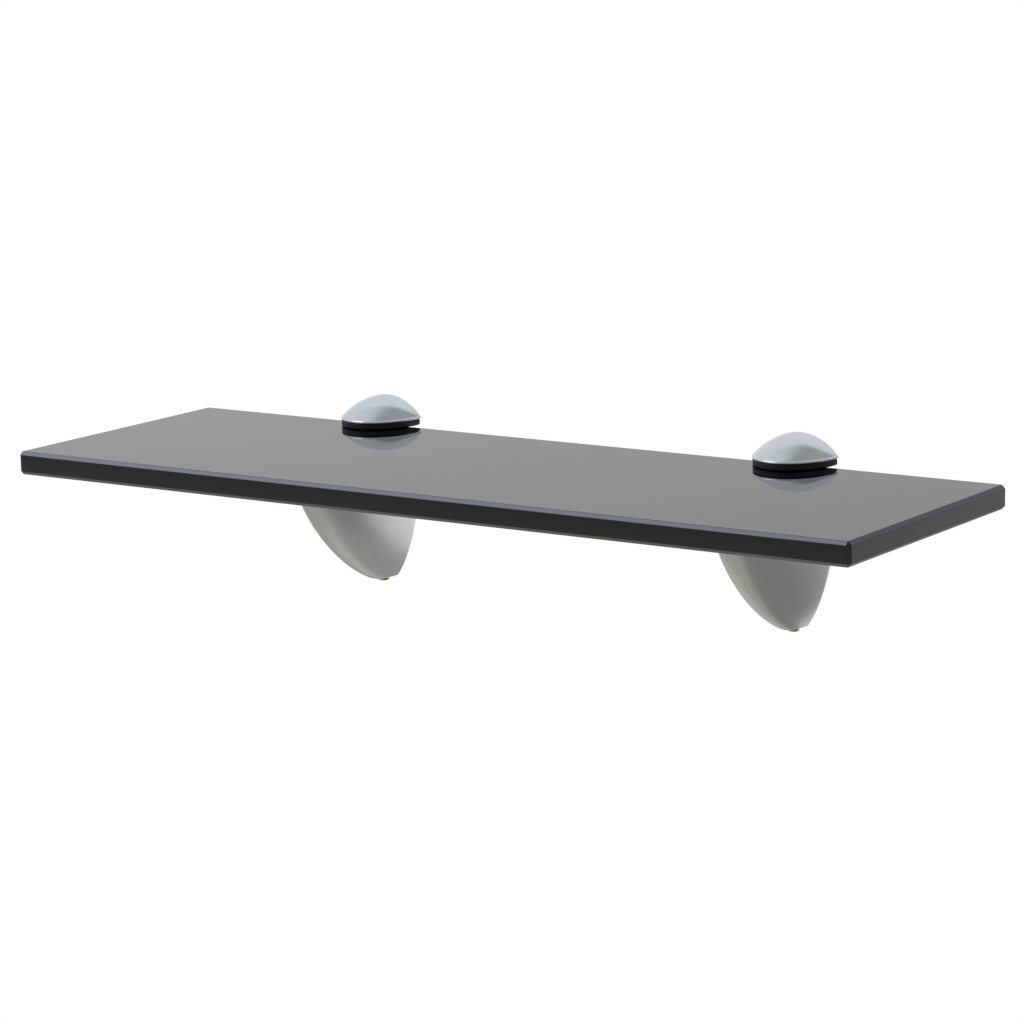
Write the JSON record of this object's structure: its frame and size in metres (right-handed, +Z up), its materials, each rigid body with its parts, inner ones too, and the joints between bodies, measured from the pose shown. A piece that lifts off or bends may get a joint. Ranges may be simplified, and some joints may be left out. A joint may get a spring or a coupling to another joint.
{
  "type": "glass wall shelf with clamp brackets",
  "caption": "Small rectangular glass wall shelf held by beak-shaped metal clamp brackets, whose domed upper jaws screw down onto the glass.",
  "frame": {"origin": "on the wall plane, midway between the brackets, level with the top face of the glass", "axes": "+Z up, +Y into the wall, +X along the shelf to the right of a person who faces the wall"},
  "size_m": [0.32, 0.1097, 0.0661],
  "materials": {
    "smoked_glass": "polished, dark tinted float glass with a ground bevel",
    "satin_nickel": "satin nickel plate on zinc casting",
    "satin_chrome": "satin chrome plate on zinc casting",
    "black_rubber": "moulded, slightly satin",
    "brass": "turned",
    "nylon": "natural nylon",
    "zinc_plated_steel": "bright zinc plate on pressed steel",
    "black_steel": "black oxide"
  },
  "bodies": {
    "brackets": {"left_lower_body": "satin_nickel", "left_lower_pad": "black_rubber", "left_wall_plate": "zinc_plated_steel", "left_locking_screw": "black_steel", "right_lower_body": "satin_nickel", "right_lower_pad": "black_rubber", "right_wall_plate": "zinc_plated_steel", "right_locking_screw": "black_steel"},
    "glass": {"glass_shelf": "smoked_glass"},
    "left_jaw": {"left_upper_jaw": "satin_chrome", "left_upper_pad": "black_rubber"},
    "left_screw": {"left_clamp_screw": "brass", "left_thrust_washer": "nylon"},
    "right_jaw": {"right_upper_jaw": "satin_chrome", "right_upper_pad": "black_rubber"},
    "right_screw": {"right_clamp_screw": "brass", "right_thrust_washer": "nylon"}
  },
  "joints": [
    {"name": "shelf_slide", "type": "slide", "parent": "brackets", "child": "glass", "axis": [0, -1, 0], "range_m": [0, 0.05]},
    {"name": "left_screw_turn", "type": "hinge", "parent": "brackets", "child": "left_screw", "pos_m": [-0.083, -0.0049, -0.0562], "axis": [0, 0, -1], "range_deg": [0, 2880]},
    {"name": "left_jaw_lift", "type": "slide", "parent": "brackets", "child": "left_jaw", "axis": [0, 0, 1], "range_m": [0, 0.0056]},
    {"name": "right_screw_turn", "type": "hinge", "parent": "brackets", "child": "right_screw", "pos_m": [0.083, -0.0049, -0.0562], "axis": [0, 0, -1], "range_deg": [0, 2880]},
    {"name": "right_jaw_lift", "type": "slide", "parent": "brackets", "child": "right_jaw", "axis": [0, 0, 1], "range_m": [0, 0.0056]}
  ],
  "couplings": [
    {"joint": "left_screw_turn", "follows": "left_jaw_lift", "rad_per_m": 8975.9},
    {"joint": "right_screw_turn", "follows": "right_jaw_lift", "rad_per_m": 8975.9}
  ]
}
